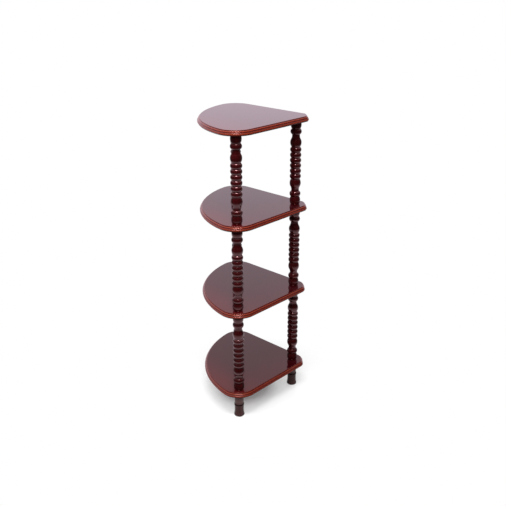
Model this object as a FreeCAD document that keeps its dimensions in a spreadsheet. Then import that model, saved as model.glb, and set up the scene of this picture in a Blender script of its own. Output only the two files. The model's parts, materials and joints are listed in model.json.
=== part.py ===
"""Corner stand of four fan-shaped shelves on three lines of turned posts.

Millimetres. +Z is up and the floor is z = 0. The back corner of the shelves points to +Y, the bowed
front faces -Y, and x = 0 is the plane of symmetry.
"""

import FreeCAD
import Part
import Sketcher
import math
import os

# Driving sizes, from the floor up.
SIZES = {
    # Feet
    "foot_height": 85.0,
    "foot_radius": 17.8,
    "foot_base_round": 4.6,
    "foot_waist_height": 24.0,
    "foot_waist_depth": 2.4,
    "foot_shoulder_height": 44.0,
    "foot_shoulder_swell": 1.3,
    "foot_groove_width": 2.6,
    "foot_groove_depth": 1.6,
    "foot_collar_height": 5.0,
    "foot_neck_depth": 1.4,
    # Plan of the shelves
    "shelf_width": 457.2,
    "shelf_thickness": 17.0,
    "corner_flat": 27.0,
    "corner_radius": 23.4,
    "end_radius": 67.0,
    "front_bow": 55.44,
    # Moulded edge of the shelves, from the top face down
    "edge_setback": 8.5,
    "edge_round": 1.2,
    "edge_quirk": 1.0,
    "ovolo_radius": 4.4,
    "edge_fillet": 1.0,
    "edge_foot": 1.4,
    # Places of the posts, in from the straight sides and from the ends of a shelf
    "post_inset": 44.0,
    "post_end_inset": 34.1,
    # Posts, from the middle out to an end
    "post_length": 279.2,
    "bobbin_count": 6,
    "bobbin_radius": 18.5,
    "valley_radius": 14.3,
    "vase_rise": 14.8,
    "vase_radius": 18.5,
    "vase_taper": 22.0,
    "neck_radius": 12.8,
    "neck_length": 4.0,
    "bead_width": 19.0,
    "bead_radius": 18.3,
    "bulb_length": 26.5,
    "bulb_radius": 17.6,
    "post_end_radius": 14.4,
    # Studs and insert nuts
    "stud_radius": 4.0,
    "stud_chamfer": 0.8,
    "stud_embedment": 28.0,
    "stud_overrun": 3.0,
    "stud_hole_clearance": 0.5,
    "thread_clearance": 0.1,
    "tip_clearance": 2.0,
    "insert_radius": 6.0,
    "insert_length": 12.0,
    "insert_flange_radius": 8.5,
    "insert_flange_thickness": 1.2,
    # How far a cut runs past the face that it starts from
    "cut_overrun": 2.0,
}

# Leg lines, each with its side of the plane of symmetry. The back corner's is on the plane.
LEGS = {"corner": 0, "right": 1, "left": -1}

# Shelves from the floor up, and the post that stands on each but the top one.
SHELVES = ("bottom", "lower", "upper", "top")
POSTS = ("lower", "middle", "upper")

doc = FreeCAD.newDocument("CornerStand")
sheet = doc.addObject("Spreadsheet::Sheet", "Sizes")
for row, (alias, value) in enumerate(SIZES.items(), start=1):
    sheet.set(f"A{row}", alias)
    sheet.set(f"B{row}", str(value))
    sheet.setAlias(f"B{row}", alias)
doc.recompute()

# Places that follow from the driving sizes, written as expressions.
TIER_PITCH = "(Sizes.shelf_thickness + Sizes.post_length)"
CORNER_CUT = "(Sizes.corner_flat / 2 + Sizes.corner_radius * (sqrt(2) - 1))"
END_X = "(Sizes.shelf_width / 2 - Sizes.end_radius)"
END_TO_FRONT = "(Sizes.end_radius + Sizes.front_bow)"
SHELF_DEPTH = f"({END_X} + sqrt(2) * Sizes.end_radius + {END_TO_FRONT} - {CORNER_CUT})"
SIDES_MEET_Y = f"({SHELF_DEPTH} / 2 + {CORNER_CUT})"
CORNER_POST_Y = f"({SIDES_MEET_Y} - sqrt(2) * Sizes.post_inset)"
SIDE_POST_X = "(Sizes.shelf_width / 2 - Sizes.post_end_inset)"
SIDE_POST_Y = f"({CORNER_POST_Y} - {SIDE_POST_X})"
END_LENGTH = (
    "(Sizes.vase_rise + Sizes.vase_taper + Sizes.neck_length + Sizes.bead_width + Sizes.bulb_length)"
)
BOBBIN_ROW = f"(Sizes.post_length - 2 * {END_LENGTH})"
BOBBIN_PITCH = f"({BOBBIN_ROW} / Sizes.bobbin_count)"
INSERT_BORE = "(Sizes.insert_radius + Sizes.thread_clearance)"
INSERT_FLANGE_BORE = "(Sizes.insert_flange_radius + Sizes.thread_clearance)"
STUD_BORE = "(Sizes.stud_radius + Sizes.thread_clearance)"


def origin_feature(body, role):
    return next(feature for feature in body.Origin.OriginFeatures if feature.Role == role)


def arc_radius(half_chord, rise):
    """The radius of an arc with this half chord and this rise above it."""
    return f"((({half_chord}) ^ 2 + ({rise}) ^ 2) / (2 * ({rise})))"


class Outline:
    """A sketch whose corners and radii are tied to the driving sizes."""

    def __init__(self, body, name, role):
        self.sketch = body.newObject("Sketcher::SketchObject", name)
        self.sketch.AttachmentSupport = [(origin_feature(body, role), "")]
        self.sketch.MapMode = "FlatFace"
        self.start = self.here = None
        self.first_end = self.last_end = None

    def value(self, expression):
        return float(self.sketch.evalExpression(expression))

    def point(self, corner):
        return FreeCAD.Vector(self.value(corner[0]), self.value(corner[1]), 0)

    def tie(self, kind, *targets, to):
        """Adds one dimension and ties it to an expression."""
        index = self.sketch.addConstraint(Sketcher.Constraint(kind, *targets, self.value(to)))
        self.sketch.renameConstraint(index, f"{kind}{index}")
        self.sketch.setExpression(f"Constraints.{kind}{index}", to)

    def pin(self, edge, end, corner):
        """Ties one end of an edge to a corner. A plain 0 puts it on an axis of the sketch."""
        for kind, axis, where in (("DistanceX", -2, corner[0]), ("DistanceY", -1, corner[1])):
            if where == "0":
                self.sketch.addConstraint(Sketcher.Constraint("PointOnObject", edge, end, axis))
            else:
                self.tie(kind, -1, 1, edge, end, to=where)

    def move(self, x, y):
        self.start = self.here = (x, y)

    def join(self, edge, near_end, far_end, corner):
        """Ties a new edge to the one before it, and its far end to its corner or to the start."""
        if self.last_end is None:
            self.first_end = (edge, near_end)
            self.pin(edge, near_end, self.here)
        else:
            self.sketch.addConstraint(Sketcher.Constraint("Coincident", *self.last_end, edge, near_end))
        if corner == self.start:
            self.sketch.addConstraint(Sketcher.Constraint("Coincident", edge, far_end, *self.first_end))
        else:
            self.pin(edge, far_end, corner)
        self.last_end = (edge, far_end)
        self.here = corner

    def line(self, x, y):
        edge = self.sketch.addGeometry(Part.LineSegment(self.point(self.here), self.point((x, y))))
        self.join(edge, 1, 2, (x, y))

    def arc(self, x, y, radius, left):
        """An arc of up to a half circle, with its centre on the left or the right of the way there."""
        begin, end = self.point(self.here), self.point((x, y))
        r = self.value(radius)
        chord = end - begin
        reach = math.sqrt(max(r * r - chord.Length ** 2 / 4, 0))
        aside = FreeCAD.Vector(-chord.y, chord.x, 0).normalize()
        centre = (begin + end) / 2 + aside * (reach if left else -reach)
        turns = [math.atan2(p.y - centre.y, p.x - centre.x) for p in (begin, end)]
        ends = (1, 2)
        if not left:
            turns.reverse()
            ends = (2, 1)
        circle = Part.Circle(centre, FreeCAD.Vector(0, 0, 1), r)
        edge = self.sketch.addGeometry(Part.ArcOfCircle(circle, *turns))
        self.join(edge, *ends, (x, y))
        self.tie("Radius", edge, to=radius)

    def close(self):
        self.line(*self.start)
        return self.sketch


def new_body(name):
    body = doc.addObject("PartDesign::Body", name)
    body.Label = name
    return body


def turn(body, name, sketch, kind="Revolution"):
    """Turns an outline a full circle round the upright axis of its sketch."""
    feature = body.newObject(f"PartDesign::{kind}", name)
    feature.Profile = sketch
    feature.ReferenceAxis = (sketch, ["V_Axis"])
    feature.Angle = 360
    return feature


def stand(body, leg, height):
    """Puts a sub-part on its leg line, with its own origin at a height above the floor."""
    side = LEGS[leg]
    body.setExpression("Placement.Base.x", f"{side} * {SIDE_POST_X}")
    body.setExpression("Placement.Base.y", SIDE_POST_Y if side else CORNER_POST_Y)
    body.setExpression("Placement.Base.z", height)


def underside(level):
    """The height of a shelf's underside, where level 0 is the bottom shelf."""
    return f"(Sizes.foot_height + {level} * {TIER_PITCH})"


def stepped_bore(body, name, mouth, steps, inward):
    """Bores along the upright axis, from a mouth height inwards.

    Each step is a radius and the depth, from the mouth, at which it ends. Inward is + or -.
    """
    outside = "-" if inward == "+" else "+"
    drawing = Outline(body, f"{name}Outline", "XZ_Plane")
    drawing.move("0", f"({mouth}) {outside} Sizes.cut_overrun")
    drawing.line(steps[0][0], f"({mouth}) {outside} Sizes.cut_overrun")
    for number, (radius, depth) in enumerate(steps):
        drawing.line(radius, f"({mouth}) {inward} ({depth})")
        if number + 1 < len(steps):
            drawing.line(steps[number + 1][0], f"({mouth}) {inward} ({depth})")
    drawing.line("0", f"({mouth}) {inward} ({steps[-1][1]})")
    return turn(body, name, drawing.close(), "Groove")


INSERT_STEPS = (
    (INSERT_FLANGE_BORE, "Sizes.insert_flange_thickness"),
    (INSERT_BORE, "Sizes.insert_length"),
)
STUD_TIP_STEP = (STUD_BORE, "Sizes.insert_length + Sizes.stud_overrun + Sizes.tip_clearance")


def shelf_plan(body):
    """The plan of a shelf: straight sides at right angles, their corner cut off flat, and a bowed front."""
    plan = Outline(body, "Plan", "XY_Plane")
    sketch = plan.sketch
    half_depth = plan.value(f"{SHELF_DEPTH} / 2")
    half_flat = plan.value("Sizes.corner_flat / 2")
    corner = plan.value("Sizes.corner_radius")
    end = plan.value("Sizes.end_radius")
    # Centres of the corner's rounds and of the ends, then of the bow, which touches both ends in front.
    corner_y = half_depth - corner
    end_x = plan.value(END_X)
    end_to_front = plan.value(END_TO_FRONT)
    end_y = end_to_front - half_depth
    bow = (end_x ** 2 + end_to_front ** 2 - end ** 2) / (2 * (end_to_front - end))
    bow_y = bow - half_depth
    meeting = math.atan2(end_y - bow_y, end_x)
    eighth = math.pi / 4

    def rim(x, y, radius, angle):
        return FreeCAD.Vector(x + radius * math.cos(angle), y + radius * math.sin(angle), 0)

    def arc(x, y, radius, begin, finish):
        circle = Part.Circle(FreeCAD.Vector(x, y, 0), FreeCAD.Vector(0, 0, 1), radius)
        return sketch.addGeometry(Part.ArcOfCircle(circle, begin, finish))

    def side(begin, finish):
        return sketch.addGeometry(Part.LineSegment(begin, finish))

    front_right = arc(0, bow_y, bow, -2 * eighth, meeting)
    right_end = arc(end_x, end_y, end, meeting, eighth)
    right_side = side(rim(end_x, end_y, end, eighth), rim(half_flat, corner_y, corner, eighth))
    right_round = arc(half_flat, corner_y, corner, eighth, 2 * eighth)
    flat = side(rim(half_flat, corner_y, corner, 2 * eighth), rim(-half_flat, corner_y, corner, 2 * eighth))
    left_round = arc(-half_flat, corner_y, corner, 2 * eighth, 3 * eighth)
    left_side = side(rim(-half_flat, corner_y, corner, 3 * eighth), rim(-end_x, end_y, end, 3 * eighth))
    left_end = arc(-end_x, end_y, end, 3 * eighth, 4 * eighth - meeting)
    front_left = arc(0, bow_y, bow, 4 * eighth - meeting, 6 * eighth)

    right_half = (front_right, right_end, right_side, right_round)
    left_half = (left_round, left_side, left_end, front_left)
    edges = (*right_half, flat, *left_half)
    for edge, following in zip(edges, edges[1:] + edges[:1]):
        sketch.addConstraint(Sketcher.Constraint("Tangent", edge, 2, following, 1))
    sketch.addConstraint(Sketcher.Constraint("PointOnObject", front_left, 3, -2))
    sketch.addConstraint(Sketcher.Constraint("PointOnObject", front_right, 1, -2))
    sketch.addConstraint(Sketcher.Constraint("Angle", right_side, 3 * eighth))
    sketch.addConstraint(Sketcher.Constraint("Perpendicular", right_side, left_side))
    sketch.addConstraint(Sketcher.Constraint("Horizontal", flat))
    sketch.addConstraint(Sketcher.Constraint("Equal", right_end, left_end))
    sketch.addConstraint(Sketcher.Constraint("Equal", right_round, left_round))
    plan.tie("Radius", right_round, to="Sizes.corner_radius")
    plan.tie("Radius", right_end, to="Sizes.end_radius")
    plan.tie("DistanceY", -1, 1, right_round, 3, to=f"{SHELF_DEPTH} / 2 - Sizes.corner_radius")
    plan.tie("DistanceY", -1, 1, front_right, 1, to=f"-{SHELF_DEPTH} / 2")
    plan.tie("DistanceX", -1, 1, right_round, 3, to="Sizes.corner_flat / 2")
    plan.tie("DistanceX", -1, 1, left_round, 3, to="-Sizes.corner_flat / 2")
    plan.tie("DistanceX", -1, 1, right_end, 3, to=END_X)
    plan.tie("DistanceX", -1, 1, left_end, 3, to=f"-{END_X}")
    return sketch


def edge_waste(body):
    """What the cutter takes off the edge, drawn at the front point of the plan.

    Left on the shelf, from the top: a small round, a quirk, an ovolo, a fillet and a nose above a foot.
    """
    drawing = Outline(body, "EdgeWaste", "YZ_Plane")
    front = f"-{SHELF_DEPTH} / 2"
    outside = f"({front} - Sizes.cut_overrun)"
    round_y = f"({front} + Sizes.edge_setback - Sizes.edge_round)"
    step_y = f"({round_y} - Sizes.ovolo_radius)"
    round_z = "(Sizes.shelf_thickness - Sizes.edge_round)"
    ovolo_z = f"({round_z} - Sizes.edge_quirk)"
    fillet_z = f"({ovolo_z} - Sizes.ovolo_radius)"
    nose_z = f"({fillet_z} - Sizes.edge_fillet)"
    nose_rise = "(Sizes.edge_setback - Sizes.edge_round - Sizes.ovolo_radius)"
    nose_radius = arc_radius(f"({nose_z} - Sizes.edge_foot) / 2", nose_rise)
    nose_middle = f"(({nose_z} + Sizes.edge_foot) / 2)"

    drawing.move(outside, "Sizes.shelf_thickness + Sizes.cut_overrun")
    drawing.line(outside, "-Sizes.cut_overrun")
    drawing.line(step_y, "-Sizes.cut_overrun")
    drawing.line(step_y, "Sizes.edge_foot")
    drawing.arc(front, nose_middle, nose_radius, left=False)
    drawing.arc(step_y, nose_z, nose_radius, left=False)
    drawing.line(step_y, fillet_z)
    drawing.arc(round_y, ovolo_z, "Sizes.ovolo_radius", left=False)
    drawing.line(round_y, round_z)
    drawing.arc(f"({round_y} + Sizes.edge_round)", "Sizes.shelf_thickness", "Sizes.edge_round", left=False)
    drawing.line(f"({round_y} + Sizes.edge_round)", "Sizes.shelf_thickness + Sizes.cut_overrun")
    return drawing.close()


def shelf(level):
    body = new_body(f"shelf_{SHELVES[level]}")
    plan = shelf_plan(body)
    board = body.newObject("PartDesign::Pad", "Board")
    board.Profile = plan
    board.setExpression("Length", "Sizes.shelf_thickness")
    moulding = body.newObject("PartDesign::SubtractivePipe", "Moulding")
    moulding.Profile = edge_waste(body)
    moulding.Spine = (plan, [f"Edge{number + 1}" for number in range(plan.GeometryCount)])
    for leg, side in LEGS.items():
        post_x = f"{side} * {SIDE_POST_X}"
        post_y = SIDE_POST_Y if side else CORNER_POST_Y
        if SHELVES[level] == "top":
            bore_for_insert(body, leg, post_x, post_y)
        else:
            bore_for_stud(body, leg, post_x, post_y)
    body.setExpression("Placement.Base.z", underside(level))
    return body


def circle_sketch(body, name, x, y, radius):
    drawing = Outline(body, name, "XY_Plane")
    circle = Part.Circle(drawing.point((x, y)), FreeCAD.Vector(0, 0, 1), drawing.value(radius))
    edge = drawing.sketch.addGeometry(circle)
    drawing.pin(edge, 3, (x, y))
    drawing.tie("Radius", edge, to=radius)
    return drawing.sketch


def pocket(body, name, x, y, radius, depth):
    """A round hole up into a shelf from its underside."""
    feature = body.newObject("PartDesign::Pocket", name)
    feature.Profile = circle_sketch(body, f"{name}Circle", x, y, radius)
    feature.setExpression("Length", depth)
    feature.Reversed = True
    return feature


def bore_for_stud(body, leg, x, y):
    radius = "Sizes.stud_radius + Sizes.stud_hole_clearance"
    pocket(body, f"Hole{leg.title()}", x, y, radius, "Sizes.shelf_thickness + Sizes.cut_overrun")


def bore_for_insert(body, leg, x, y):
    for number, (radius, depth) in enumerate(INSERT_STEPS):
        pocket(body, f"Bore{leg.title()}{number}", x, y, radius, depth)


def bobbin(body):
    """The lowest bobbin of the row, which fills the post between its two end turnings."""
    low = f"(-{BOBBIN_ROW} / 2)"
    high = f"({low} + {BOBBIN_PITCH})"
    radius = arc_radius(f"{BOBBIN_PITCH} / 2", "Sizes.bobbin_radius - Sizes.valley_radius")
    drawing = Outline(body, "BobbinOutline", "XZ_Plane")
    drawing.move("0", low)
    drawing.line("Sizes.valley_radius", low)
    drawing.arc("Sizes.valley_radius", high, radius, left=True)
    drawing.line("0", high)
    return turn(body, "Bobbin", drawing.close())


def end_turning(body):
    """From the row of bobbins up to the post's top end: a vase, a neck, a bead and a bulb."""
    bobbins_end = f"({BOBBIN_ROW} / 2)"
    vase_z = f"({bobbins_end} + Sizes.vase_rise)"
    vase_swell = "(Sizes.vase_radius - Sizes.valley_radius)"
    taper_drop = "((Sizes.vase_radius - Sizes.neck_radius) / 2)"
    neck_z = f"({vase_z} + Sizes.vase_taper)"
    bead_z = f"({neck_z} + Sizes.neck_length)"
    bulb_z = f"({bead_z} + Sizes.bead_width)"
    end_z = "(Sizes.post_length / 2)"
    bulb_half = "(Sizes.bulb_length / 2)"

    drawing = Outline(body, "EndOutline", "XZ_Plane")
    drawing.move("0", bobbins_end)
    drawing.line("Sizes.valley_radius", bobbins_end)
    drawing.arc("Sizes.vase_radius", vase_z, arc_radius("Sizes.vase_rise", vase_swell), left=True)
    sweep = arc_radius("Sizes.vase_taper / 2", taper_drop)
    halfway = (f"(Sizes.vase_radius - {taper_drop})", f"({vase_z} + Sizes.vase_taper / 2)")
    drawing.arc(*halfway, sweep, left=True)
    drawing.arc("Sizes.neck_radius", neck_z, sweep, left=False)
    drawing.line("Sizes.neck_radius", bead_z)
    bead_middle = f"({bead_z} + Sizes.bead_width / 2)"
    for corner, foot in (
        (("Sizes.bead_radius", bead_middle), "Sizes.neck_radius"),
        (("Sizes.valley_radius", bulb_z), "Sizes.valley_radius"),
    ):
        drawing.arc(*corner, arc_radius("Sizes.bead_width / 2", f"Sizes.bead_radius - {foot}"), left=True)
    for corner, foot in (
        (("Sizes.bulb_radius", f"({bulb_z} + {bulb_half})"), "Sizes.valley_radius"),
        (("Sizes.post_end_radius", end_z), "Sizes.post_end_radius"),
    ):
        drawing.arc(*corner, arc_radius(bulb_half, f"Sizes.bulb_radius - {foot}"), left=True)
    drawing.line("0", end_z)
    return turn(body, "EndTurning", drawing.close())


def post(tier, leg):
    """A turned post, the same both ways up, with an insert nut below and a stud above."""
    body = new_body(f"post_{leg}_{POSTS[tier]}")
    lowest = bobbin(body)
    row = body.newObject("PartDesign::LinearPattern", "BobbinRow")
    row.Originals = [lowest]
    row.Direction = (origin_feature(body, "Z_Axis"), [""])
    row.setExpression("Occurrences", "Sizes.bobbin_count")
    row.setExpression("Length", f"{BOBBIN_ROW} - {BOBBIN_PITCH}")
    body.Tip = row
    top = end_turning(body)
    both = body.newObject("PartDesign::Mirrored", "BothEnds")
    both.Originals = [top]
    both.MirrorPlane = (origin_feature(body, "XY_Plane"), [""])
    body.Tip = both
    steps = (*INSERT_STEPS, STUD_TIP_STEP)
    stepped_bore(body, "InsertBore", "-Sizes.post_length / 2", steps, "+")
    stud_step = (STUD_BORE, "Sizes.stud_embedment")
    stepped_bore(body, "StudBore", "Sizes.post_length / 2", (stud_step,), "-")
    stand(body, leg, f"{underside(tier)} + Sizes.shelf_thickness + Sizes.post_length / 2")
    return body


def foot(leg):
    """A turned foot: a rounded base, a waist, a shoulder with a groove above it, and a neck."""
    body = new_body(f"foot_{leg}")
    waist = "(Sizes.foot_radius - Sizes.foot_waist_depth)"
    shoulder = f"({waist} + Sizes.foot_shoulder_swell)"
    neck = f"({shoulder} - Sizes.foot_neck_depth)"
    groove_z = "(Sizes.foot_shoulder_height + Sizes.foot_groove_width / 2)"
    collar_z = "(Sizes.foot_shoulder_height + Sizes.foot_groove_width)"
    neck_z = f"({collar_z} + Sizes.foot_collar_height)"
    waist_rise = "(Sizes.foot_waist_height - Sizes.foot_base_round)"
    shoulder_rise = "(Sizes.foot_shoulder_height - Sizes.foot_waist_height)"

    drawing = Outline(body, "FootOutline", "XZ_Plane")
    drawing.move("0", "0")
    drawing.line("Sizes.foot_radius - Sizes.foot_base_round", "0")
    drawing.arc("Sizes.foot_radius", "Sizes.foot_base_round", "Sizes.foot_base_round", left=True)
    waist_sweep = arc_radius(waist_rise, "Sizes.foot_waist_depth")
    drawing.arc(waist, "Sizes.foot_waist_height", waist_sweep, left=False)
    shoulder_sweep = arc_radius(shoulder_rise, "Sizes.foot_shoulder_swell")
    drawing.arc(shoulder, "Sizes.foot_shoulder_height", shoulder_sweep, left=False)
    drawing.line(f"({shoulder} - Sizes.foot_groove_depth)", groove_z)
    drawing.line(shoulder, collar_z)
    drawing.arc(neck, neck_z, arc_radius("Sizes.foot_collar_height", "Sizes.foot_neck_depth"), left=False)
    drawing.line(neck, "Sizes.foot_height")
    drawing.line("0", "Sizes.foot_height")
    turn(body, "Turning", drawing.close())
    stepped_bore(body, "StudBore", "Sizes.foot_height", ((STUD_BORE, "Sizes.stud_embedment"),), "-")
    stand(body, leg, "0")
    return body


def stud(level, leg):
    """A threaded stud, at its major diameter, from the piece below a shelf into what is above it."""
    body = new_body(f"stud_{leg}_{SHELVES[level]}")
    if SHELVES[level] == "top":
        above = "Sizes.insert_length"
    else:
        above = "(Sizes.shelf_thickness + Sizes.insert_length + Sizes.stud_overrun)"
    drawing = Outline(body, "StudOutline", "XZ_Plane")
    shank = "(Sizes.stud_radius - Sizes.stud_chamfer)"
    drawing.move("0", "-Sizes.stud_embedment")
    drawing.line(shank, "-Sizes.stud_embedment")
    drawing.line("Sizes.stud_radius", "Sizes.stud_chamfer - Sizes.stud_embedment")
    drawing.line("Sizes.stud_radius", f"{above} - Sizes.stud_chamfer")
    drawing.line(shank, above)
    drawing.line("0", above)
    turn(body, "Stud", drawing.close())
    stand(body, leg, underside(level))
    return body


def insert(level, leg):
    """A flanged insert nut, flush with the wood, at its thread's major diameter."""
    body = new_body(f"insert_{leg}_{SHELVES[level]}")
    drawing = Outline(body, "InsertOutline", "XZ_Plane")
    drawing.move(STUD_BORE, "0")
    drawing.line("Sizes.insert_flange_radius", "0")
    drawing.line("Sizes.insert_flange_radius", "Sizes.insert_flange_thickness")
    drawing.line("Sizes.insert_radius", "Sizes.insert_flange_thickness")
    drawing.line("Sizes.insert_radius", "Sizes.insert_length")
    drawing.line(STUD_BORE, "Sizes.insert_length")
    turn(body, "Insert", drawing.close())
    mouth = underside(level)
    if SHELVES[level] != "top":
        mouth = f"{mouth} + Sizes.shelf_thickness"
    stand(body, leg, mouth)
    return body


def build():
    pieces = [shelf(level) for level in range(len(SHELVES))]
    for leg in LEGS:
        pieces.append(foot(leg))
        pieces.extend(post(tier, leg) for tier in range(len(POSTS)))
        pieces.extend(stud(level, leg) for level in range(len(SHELVES)))
        pieces.extend(insert(level, leg) for level in range(len(SHELVES)))
    doc.recompute()
    return pieces


def check(pieces):
    for item in doc.Objects:
        if "Invalid" in item.State or "Error" in item.State:
            raise RuntimeError(f"{item.Label} failed: {item.State}")
    for piece in pieces:
        if piece.Shape.isNull() or not piece.Shape.isValid() or len(piece.Shape.Solids) != 1:
            raise RuntimeError(f"{piece.Label} is not one valid solid")


def write(pieces):
    os.makedirs("parts", exist_ok=True)
    for piece in pieces:
        piece.Shape.exportStep(f"parts/{piece.Label}.step")


stand_pieces = build()
check(stand_pieces)
write(stand_pieces)
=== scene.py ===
"""Looks of the corner stand: lacquered mahogany shelves, posts and feet on a pale studio floor.

Metres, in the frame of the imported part: +Z is up, the bowed front faces -Y, the floor is z = 0.
"""

import json
import math

import bpy
from mathutils import Matrix, Vector

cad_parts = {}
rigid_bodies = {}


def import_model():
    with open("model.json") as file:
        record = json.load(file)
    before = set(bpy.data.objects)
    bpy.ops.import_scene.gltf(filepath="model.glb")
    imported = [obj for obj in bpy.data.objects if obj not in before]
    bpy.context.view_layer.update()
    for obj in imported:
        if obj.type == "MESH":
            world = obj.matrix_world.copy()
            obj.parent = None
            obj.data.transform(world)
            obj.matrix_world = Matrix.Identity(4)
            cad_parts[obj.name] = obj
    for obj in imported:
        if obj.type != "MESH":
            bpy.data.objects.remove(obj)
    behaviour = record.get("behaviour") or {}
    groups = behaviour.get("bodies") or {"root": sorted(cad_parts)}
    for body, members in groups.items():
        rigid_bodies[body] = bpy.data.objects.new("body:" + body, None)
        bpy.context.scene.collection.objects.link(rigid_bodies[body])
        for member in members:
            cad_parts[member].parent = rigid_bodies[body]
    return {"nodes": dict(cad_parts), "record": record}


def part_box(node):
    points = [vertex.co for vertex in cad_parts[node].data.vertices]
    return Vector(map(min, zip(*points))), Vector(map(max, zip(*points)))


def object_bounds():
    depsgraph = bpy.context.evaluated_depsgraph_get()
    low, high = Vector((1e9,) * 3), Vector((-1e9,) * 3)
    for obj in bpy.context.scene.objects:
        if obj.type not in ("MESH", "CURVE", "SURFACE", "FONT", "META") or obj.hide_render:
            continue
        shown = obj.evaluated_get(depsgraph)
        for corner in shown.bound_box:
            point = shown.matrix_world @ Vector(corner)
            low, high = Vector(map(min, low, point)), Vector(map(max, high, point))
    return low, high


# Camera, as found from the outlines of the shelves and posts in the photograph.
IMAGE_PIXELS = 506
SENSOR_MM = 36.0
FOCAL_PIXELS = 723.99
CAMERA_AZIMUTH = math.radians(88.4685)
CAMERA_TURN = math.radians(0.0359)
CAMERA_DISTANCE = 2.3010
CAMERA_HEIGHT = 1.4408
CAMERA_PITCH = math.radians(21.8424)
CAMERA_ROLL = math.radians(0.2449)

# Soft lights, each placed as seen from the middle of the stand, in degrees, metres and watts. Azimuth 0
# is the bowed front, and the camera stands near 88. A size is a width and a height. Only the top light
# shows in reflections.
LIGHTS = {
    "top_light": {
        "azimuth": 87.0,
        "elevation": 63.0,
        "distance": 2.8,
        "size": (1.15, 0.45),
        "power": 50.0,
        "mirrored": True,
    },
    "front_light": {"azimuth": 87.0, "elevation": 40.0, "distance": 2.8, "size": (1.4, 1.4), "power": 30.0},
    "left_light": {"azimuth": 34.0, "elevation": 50.0, "distance": 2.4, "size": (1.4, 1.4), "power": 24.0},
    "right_light": {"azimuth": 160.0, "elevation": 30.0, "distance": 2.6, "size": (1.3, 1.3), "power": 8.0},
    "back_light": {"azimuth": 255.0, "elevation": 35.0, "distance": 2.6, "size": (1.4, 1.4), "power": 16.0},
}

# The backdrop is white where it is looked at, and has this level as a light.
AMBIENT_LEVEL = 0.28

# The floor looks like the shadowed paper near its middle, and like the white backdrop further out. The
# fade gives distances from the middle with the share of white that is reached at each.
FLOOR_HALF_WIDTH = 12.0
FLOOR_MIDDLE = (0.03, -0.03, 0.0)
FLOOR_FADE = ((0.07, 0.0), (0.12, 0.33), (0.20, 0.42), (0.30, 0.78), (0.40, 1.0))

# The floor's colour as light bounces off it, its colour where it is looked at, and a glow added there.
FLOOR_BOUNCE = (0.13, 0.13, 0.13, 1.0)
FLOOR_SEEN = (0.86, 0.86, 0.86, 1.0)
FLOOR_LIFT = 0.12

# Grain: noise, and the two values of it at which the shades of a stain are reached.
GRAIN_DETAIL = 6.0
GRAIN_ROUGHNESS = 0.6
GRAIN_DISTORTION = 0.4
GRAIN_RANGE = (0.3, 0.7)

# Lacquer and its thin top coat, with the faint orange peel of a spray.
WHITE = (1.0, 1.0, 1.0, 1.0)
LACQUER_IOR = 1.50
COAT_WEIGHT = 0.5
COAT_ROUGHNESS = 0.08
COAT_IOR = 1.05
PEEL_DETAIL = 2.0
PEEL_STRENGTH = 0.4
PEEL_DEPTH = 0.00003

# Shelves. A shine tints what the lacquer mirrors head on, and a coat what is seen through the top coat.
SHELF_STRETCH = (2.2, 26.0, 26.0)
SHELF_GRAIN_SCALE = 5.0
SHELF_PEEL_SCALE = 90.0
SHELF_STAINS = ((0.028, 0.0016, 0.0024, 1.0), (0.036, 0.0022, 0.0032, 1.0))
SHELF_SHINE = (1.0, 0.52, 0.44, 1.0)
SHELF_COAT = (1.0, 0.84, 1.0, 1.0)
SHELF_COAT_IOR = 1.10

# Painted light: the flat faces turn redder towards the right end of the bow, between two places along this
# way.
PAINTED_LIGHT_WAY = (0.707, -0.707, 0.0)
PAINTED_LIGHT_RANGE = (0.06, 0.20)
PAINTED_LIGHT_COLOUR = (0.060, 0.0034, 0.0036, 1.0)

# The upright part of the normal at which a shelf's face begins to count as flat, and is flat in full.
FLAT_SLOPES = (0.96, 0.999)
FACE_ROUGHNESS = 0.08
FACE_GLOSS = 0.50
EDGE_ROUGHNESS = 0.25

# The edge's gloss grows as it faces up, and falls as it faces the back.
EDGE_UP_SLOPES = (0.25, 0.60)
EDGE_UP_GLOSS = (0.20, 1.00)
EDGE_BACK_SLOPES = (0.10, 0.45)
EDGE_BACK_SHARES = (1.0, 0.15)

# Heights on the moulded edge, in metres up from a shelf's underside, with the colour at each.
EDGE_STREAKS_SHARE = 0.35
# The mid colour is the edge's stain. The dark bands are painted shade in the recesses and underneath, and
# the light bands are painted light on the beads.
EDGE_PAINTED_SHADE = (0.026, 0.0016, 0.0012, 1.0)
EDGE_MID = (0.128, 0.0115, 0.0036, 1.0)
EDGE_PAINTED_LIGHT = (0.230, 0.0330, 0.0090, 1.0)
EDGE_PAINTED_SHADING = (
    (0.0000, EDGE_PAINTED_SHADE),
    (0.0016, EDGE_PAINTED_SHADE),
    (0.0028, EDGE_MID),
    (0.0052, EDGE_PAINTED_LIGHT),
    (0.0080, EDGE_MID),
    (0.0092, EDGE_PAINTED_SHADE),
    (0.0104, EDGE_PAINTED_SHADE),
    (0.0116, EDGE_MID),
    (0.0135, EDGE_PAINTED_LIGHT),
    (0.0146, EDGE_PAINTED_SHADE),
    (0.0158, EDGE_PAINTED_SHADE),
    (0.0166, EDGE_MID),
)

# Posts and feet, which are turned and so have upright grain.
TURNED_STRETCH = (30.0, 30.0, 2.5)
TURNED_GRAIN_SCALE = 6.0
TURNED_PEEL_SCALE = 120.0

# Posts
POST_STAINS = ((0.018, 0.0011, 0.0014, 1.0), (0.039, 0.0025, 0.0030, 1.0))
POST_ROUGHNESS = 0.10
POST_SHINE = (1.0, 0.60, 0.60, 1.0)
POST_COAT = (1.0, 0.84, 0.92, 1.0)

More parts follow.
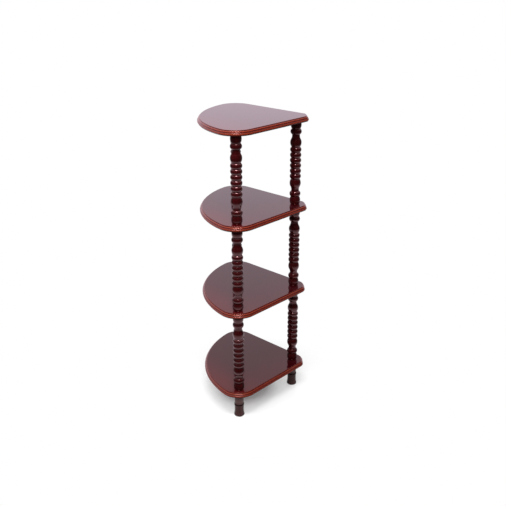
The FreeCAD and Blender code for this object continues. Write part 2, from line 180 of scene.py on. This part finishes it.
# The posts are glossy where they face down: by height, the upward part of the normal at which that
# starts, and how much further it falls until the gloss is full. A ramp holds no number below 0, so the
# lift is added to what it holds.
UNDER_STARTS = ((0.10, -0.10), (0.18, 0.12), (0.29, 0.27), (0.85, -0.09), (0.93, -0.30))
UNDER_LIFT = 0.5
UNDER_FALL = 0.27
UNDER_GLOSS = (0.03, 0.86)

# They are glossy on the shoulders too, more and more as the normal's upward part goes from the first
# slope to the second: by height, how much. It is most on the topmost bobbin of the two lower tiers,
# and strong all over the top tier.
SHOULDER_SLOPES = (0.42, 0.60)
SHOULDER_SHARES = (
    (0.287, 0.18),
    (0.291, 1.00),
    (0.296, 1.00),
    (0.300, 0.18),
    (0.584, 0.18),
    (0.588, 1.00),
    (0.593, 1.00),
    (0.597, 0.25),
    (0.740, 0.75),
)

# Feet, with heights in metres up from the floor: painted shade darkens the groove, and a painted pale
# reflection lightens the neck above it.
FOOT_STAINS = ((0.046, 0.016, 0.016, 1.0), (0.073, 0.028, 0.027, 1.0))
FOOT_ROUGHNESS = 0.30
FOOT_GLOSS = 0.15
GROOVE_HEIGHT = 0.0453
GROOVE_WIDTH = 0.0026
GROOVE_PAINTED_SHADE = (0.008, 0.003, 0.003, 1.0)
NECK_RANGE = (0.046, 0.056)
NECK_PAINTED_REFLECTION = (0.180, 0.100, 0.098, 1.0)

# Zinc plate of the hidden studs and insert nuts.
SPANGLE_SCALE = 900.0
SPANGLE_DARKER_SHARE = 0.8
ZINC_ROUGHNESS = 0.35
STUD_ZINC = (0.62, 0.62, 0.60, 1.0)
INSERT_ZINC = (0.60, 0.56, 0.42, 1.0)

# A Mix node's sockets for colours come after those for numbers and vectors.
MIX_FIRST = 6
MIX_SECOND = 7
MIX_RESULT = 2


def clear_scene():
    for item in list(bpy.data.objects):
        bpy.data.objects.remove(item)


class Nodes:
    """The node tree of a material or world, with short calls that add a node and join it up."""

    def __init__(self, owner, output="OutputMaterial"):
        self.owner = owner
        owner.use_nodes = True
        self.tree = owner.node_tree
        self.tree.nodes.clear()
        self.output = self.add(output)

    def add(self, kind, inputs=None, **settings):
        node = self.tree.nodes.new(f"ShaderNode{kind}")
        for key, value in settings.items():
            setattr(node, key, value)
        for key, value in (inputs or {}).items():
            self.feed(node.inputs[key], value)
        return node

    def feed(self, socket, value):
        """Joins a socket to another node's output, or sets its own value."""
        if isinstance(value, bpy.types.NodeSocket):
            self.tree.links.new(value, socket)
        else:
            socket.default_value = value

    def place(self):
        """The place on the object, which is the place in the frame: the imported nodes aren't moved."""
        return self.add("TexCoord").outputs["Object"]

    def parts(self, vector):
        return self.add("SeparateXYZ", {0: vector}).outputs

    def normal(self, kind="Normal"):
        return self.parts(self.add("NewGeometry").outputs[kind])

    def math(self, operation, first, second=0.0):
        return self.add("Math", {0: first, 1: second}, operation=operation).outputs[0]

    def span(self, value, start=(0.0, 1.0), end=(0.0, 1.0), **settings):
        """Takes a value from one range to another and stops at its ends."""
        ends = {"From Min": start[0], "From Max": start[1], "To Min": end[0], "To Max": end[1]}
        return self.add("MapRange", {"Value": value, **ends}, **settings).outputs[0]

    def ramp(self, factor, stops):
        node = self.add("ValToRGB", {0: factor})
        elements = node.color_ramp.elements
        while len(elements) < len(stops):
            elements.new(1.0)
        for element, (place, colour) in zip(elements, stops):
            element.position = place
            element.color = colour
        return node.outputs[0]

    def mix(self, factor, first, second):
        node = self.add("Mix", {"Factor": factor, MIX_FIRST: first, MIX_SECOND: second}, data_type="RGBA")
        return node.outputs[MIX_RESULT]

    def finish(self, shader):
        self.tree.links.new(shader, self.output.inputs["Surface"])
        return self.owner


def new_material(name):
    return Nodes(bpy.data.materials.new(name))


def greys(stops):
    """Stops of a ramp that holds numbers."""
    return [(place, (share, share, share, 1.0)) for place, share in stops]


def grain(nodes, stretch, scale):
    """Streaks of grain, 0 to 1, drawn out along one axis of the object."""
    drawn = nodes.add("Mapping", {"Vector": nodes.place(), "Scale": stretch}).outputs[0]
    wavy = nodes.add("TexNoise", {
        "Vector": drawn,
        "Scale": scale,
        "Detail": GRAIN_DETAIL,
        "Roughness": GRAIN_ROUGHNESS,
        "Distortion": GRAIN_DISTORTION,
    })
    return wavy.outputs["Fac"]


def stain(nodes, streaks, shades):
    return nodes.ramp(streaks, list(zip(GRAIN_RANGE, shades)))


def lacquer(nodes, colour, roughness, gloss, peel_scale, shine=WHITE, coat=WHITE, coat_ior=COAT_IOR):
    """A stained wood under a lacquer and its thin top coat."""
    spray = {"Vector": nodes.place(), "Scale": peel_scale, "Detail": PEEL_DETAIL}
    peel = nodes.add("TexNoise", spray).outputs["Fac"]
    bump = nodes.add("Bump", {"Strength": PEEL_STRENGTH, "Distance": PEEL_DEPTH, "Height": peel})
    shader = nodes.add("BsdfPrincipled", {
        "Base Color": colour,
        "Roughness": roughness,
        "Normal": bump.outputs[0],
        "IOR": LACQUER_IOR,
        "Specular IOR Level": gloss,
        "Specular Tint": shine,
        "Coat Weight": COAT_WEIGHT,
        "Coat Roughness": COAT_ROUGHNESS,
        "Coat IOR": coat_ior,
        "Coat Tint": coat,
    })
    return nodes.finish(shader.outputs[0])


def face_stain_and_painted_light(nodes, streaks):
    """Dark mahogany stain, with painted light that makes it redder towards the right end of the bow."""
    dot = {0: nodes.place(), 1: PAINTED_LIGHT_WAY}
    along = nodes.add("VectorMath", dot, operation="DOT_PRODUCT").outputs["Value"]
    painted_light_share = nodes.span(along, PAINTED_LIGHT_RANGE, interpolation_type="SMOOTHSTEP")
    return nodes.mix(painted_light_share, stain(nodes, streaks, SHELF_STAINS), PAINTED_LIGHT_COLOUR)


def edge_stain_and_painted_shading(nodes, streaks, underside, pitch, thickness):
    """Painted shade and light in bands by height, alike on every shelf. The count starts half a thickness
    below the underside.
    """
    lead = 0.5 * thickness
    height = nodes.parts(nodes.place())["Z"]
    rise = nodes.math("MODULO", nodes.math("SUBTRACT", height, underside - lead), pitch)
    share = nodes.math("DIVIDE", nodes.math("SUBTRACT", rise, lead), thickness)
    shades = nodes.ramp(share, [(level / thickness, shade) for level, shade in EDGE_PAINTED_SHADING])
    return nodes.mix(nodes.math("MULTIPLY", streaks, EDGE_STREAKS_SHARE), shades, EDGE_MID)


def shelf_gloss(nodes, flat):
    normal = nodes.normal()
    up = nodes.span(normal["Z"], EDGE_UP_SLOPES, EDGE_UP_GLOSS)
    back = nodes.span(normal["Y"], EDGE_BACK_SLOPES, EDGE_BACK_SHARES)
    return nodes.span(flat, end=(nodes.math("MULTIPLY", up, back), FACE_GLOSS))


def shelf_lacquer(underside, pitch, thickness):
    """Mirror-smooth on the flat faces with painted light, and painted shade and light by height on the
    moulded edge.
    """
    nodes = new_material("shelf_lacquer")
    streaks = grain(nodes, SHELF_STRETCH, SHELF_GRAIN_SCALE)
    flat = nodes.span(nodes.math("ABSOLUTE", nodes.normal("True Normal")["Z"]), FLAT_SLOPES)
    edge = edge_stain_and_painted_shading(nodes, streaks, underside, pitch, thickness)
    colour = nodes.mix(flat, edge, face_stain_and_painted_light(nodes, streaks))
    roughness = nodes.span(flat, end=(EDGE_ROUGHNESS, FACE_ROUGHNESS))
    gloss = shelf_gloss(nodes, flat)
    return lacquer(
        nodes, colour, roughness, gloss, SHELF_PEEL_SCALE, SHELF_SHINE, SHELF_COAT, SHELF_COAT_IOR)


def post_gloss(nodes):
    """Strong on undersides and shoulders, and weak between them."""
    height = nodes.parts(nodes.place())["Z"]
    upward = nodes.normal()["Z"]
    start = nodes.ramp(height, greys((place, UNDER_LIFT + slope) for place, slope in UNDER_STARTS))
    fall = nodes.math("SUBTRACT", start, upward)
    under = nodes.span(fall, (UNDER_LIFT, UNDER_LIFT + UNDER_FALL), UNDER_GLOSS)
    most = nodes.ramp(height, greys(SHOULDER_SHARES))
    shoulder = nodes.span(upward, SHOULDER_SLOPES, (0.0, most))
    return nodes.math("ADD", under, shoulder)


def post_lacquer():
    """Deep maroon, with upright grain."""
    nodes = new_material("post_lacquer")
    colour = stain(nodes, grain(nodes, TURNED_STRETCH, TURNED_GRAIN_SCALE), POST_STAINS)
    gloss = post_gloss(nodes)
    return lacquer(nodes, colour, POST_ROUGHNESS, gloss, TURNED_PEEL_SCALE, POST_SHINE, POST_COAT)


def foot_lacquer():
    """Duller and browner than the posts, with painted shade in the groove and a painted pale reflection on
    the neck above it.
    """
    nodes = new_material("foot_lacquer")
    colour = stain(nodes, grain(nodes, TURNED_STRETCH, TURNED_GRAIN_SCALE), FOOT_STAINS)
    height = nodes.parts(nodes.place())["Z"]
    # Painted shade darkens the groove, and a painted pale reflection lightens the neck above it.
    off = nodes.math("ABSOLUTE", nodes.math("SUBTRACT", height, GROOVE_HEIGHT))
    clear = nodes.span(off, (0.5 * GROOVE_WIDTH, GROOVE_WIDTH))
    colour = nodes.mix(nodes.span(height, NECK_RANGE), colour, NECK_PAINTED_REFLECTION)
    colour = nodes.mix(clear, GROOVE_PAINTED_SHADE, colour)
    gloss = nodes.math("MULTIPLY", clear, FOOT_GLOSS)
    return lacquer(nodes, colour, FOOT_ROUGHNESS, gloss, TURNED_PEEL_SCALE)


def zinc(name, colour):
    """Zinc plate with a spangle of slightly darker grains."""
    nodes = new_material(name)
    cells = nodes.add("TexVoronoi", {"Vector": nodes.place(), "Scale": SPANGLE_SCALE}).outputs["Color"]
    darker = tuple(SPANGLE_DARKER_SHARE * part for part in colour[:3]) + (1.0,)
    tint = nodes.mix(nodes.parts(cells)["X"], darker, colour)
    shader = nodes.add("BsdfPrincipled", {"Base Color": tint, "Metallic": 1.0, "Roughness": ZINC_ROUGHNESS})
    return nodes.finish(shader.outputs[0])


def dress(frame):
    """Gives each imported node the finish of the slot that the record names."""
    underside, topside = (corner[2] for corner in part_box("shelf_bottom"))
    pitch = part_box("shelf_lower")[0][2] - underside
    finishes = {
        "shelf_lacquer": shelf_lacquer(underside, pitch, topside - underside),
        "post_lacquer": post_lacquer(),
        "foot_lacquer": foot_lacquer(),
        "stud_steel": zinc("stud_steel", STUD_ZINC),
        "insert_steel": zinc("insert_steel", INSERT_ZINC),
    }
    slots = {row["node"]: row["material_slot"] for row in frame["record"]["subparts"]}
    for name, node in frame["nodes"].items():
        for slot in node.material_slots:
            slot.material = finishes[slots[name]]


def looked_at(nodes):
    """1 for the eye, straight or by a reflection or through glass, and 0 for light that bounces."""
    path = nodes.add("LightPath").outputs
    seen = nodes.math("MAXIMUM", path["Is Camera Ray"], path["Is Glossy Ray"])
    return nodes.math("MAXIMUM", seen, path["Is Transmission Ray"])


def floor_paper():
    """Pale paper that keeps the shadow and fades to the white of the backdrop."""
    nodes = new_material("floor_paper")
    far = {0: nodes.place(), 1: FLOOR_MIDDLE}
    reach = nodes.add("VectorMath", far, operation="DISTANCE").outputs["Value"]
    fade = nodes.ramp(reach, greys(FLOOR_FADE))
    pale = nodes.add("BsdfDiffuse", {"Color": FLOOR_SEEN}).outputs[0]
    lift = nodes.add("Emission", {"Color": WHITE, "Strength": FLOOR_LIFT}).outputs[0]
    near = nodes.add("AddShader", {0: pale, 1: lift}).outputs[0]
    white = nodes.add("Emission", {"Color": WHITE, "Strength": 1.0}).outputs[0]
    seen = nodes.add("MixShader", {0: fade, 1: near, 2: white}).outputs[0]
    bounce = nodes.add("BsdfDiffuse", {"Color": FLOOR_BOUNCE}).outputs[0]
    shown = nodes.add("MixShader", {0: looked_at(nodes), 1: bounce, 2: seen}).outputs[0]
    return nodes.finish(shown)


def floor():
    """A wide square sheet, no part of the object."""
    mesh = bpy.data.meshes.new("floor")
    square = ((-1, -1), (1, -1), (1, 1), (-1, 1))
    points = [(x * FLOOR_HALF_WIDTH, y * FLOOR_HALF_WIDTH, 0.0) for x, y in square]
    mesh.from_pydata(points, [], [(0, 1, 2, 3)])
    mesh.materials.append(floor_paper())
    piece = bpy.data.objects.new("floor", mesh)
    bpy.context.scene.collection.objects.link(piece)


def world():
    """White where it is looked at, and a plain ambient level as a light."""
    sky = bpy.data.worlds.new("studio")
    bpy.context.scene.world = sky
    nodes = Nodes(sky, "OutputWorld")
    level = nodes.span(looked_at(nodes), end=(AMBIENT_LEVEL, 1.0))
    backdrop = nodes.add("Background", {"Color": WHITE, "Strength": level})
    nodes.finish(backdrop.outputs[0])


def softbox(name, middle, azimuth, elevation, distance, size, power, mirrored=False):
    """A soft light that faces the stand."""
    lamp = bpy.data.lights.new(name, "AREA")
    lamp.shape = "RECTANGLE"
    lamp.energy = power
    lamp.size, lamp.size_y = size
    turn, tilt = math.radians(azimuth), math.radians(elevation)
    way = Vector((math.sin(turn) * math.cos(tilt), -math.cos(turn) * math.cos(tilt), math.sin(tilt)))
    piece = bpy.data.objects.new(name, lamp)
    piece.location = middle + way * distance
    piece.rotation_euler = way.to_track_quat("Z", "Y").to_euler()
    piece.visible_glossy = mirrored
    bpy.context.scene.collection.objects.link(piece)


def camera():
    """Stands at the photograph's angle, turned, pitched and rolled as the fit says."""
    heading = CAMERA_AZIMUTH + CAMERA_TURN
    right = Vector((math.cos(heading), math.sin(heading), 0.0))
    level = Vector((-math.sin(heading), math.cos(heading), 0.0))
    ahead = level * math.cos(CAMERA_PITCH) - Vector((0.0, 0.0, math.sin(CAMERA_PITCH)))
    down = ahead.cross(right)
    across = right * math.cos(CAMERA_ROLL) + down * math.sin(CAMERA_ROLL)
    up = right * math.sin(CAMERA_ROLL) - down * math.cos(CAMERA_ROLL)
    data = bpy.data.cameras.new("camera")
    data.sensor_width = SENSOR_MM
    data.lens = SENSOR_MM * FOCAL_PIXELS / IMAGE_PIXELS
    piece = bpy.data.objects.new("camera", data)
    place = Vector((
        CAMERA_DISTANCE * math.sin(CAMERA_AZIMUTH),
        -CAMERA_DISTANCE * math.cos(CAMERA_AZIMUTH),
        CAMERA_HEIGHT,
    ))
    turn = Matrix((across, up, -ahead)).transposed().to_4x4()
    piece.matrix_world = Matrix.Translation(place) @ turn
    bpy.context.scene.collection.objects.link(piece)
    bpy.context.scene.camera = piece


clear_scene()
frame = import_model()
cad_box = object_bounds()
bpy.context.scene.view_settings.view_transform = "Standard"
dress(frame)
floor()
world()
middle = Vector((0.0, 0.0, cad_box[1][2] / 2))
for name, light in LIGHTS.items():
    softbox(name, middle, **light)
camera()
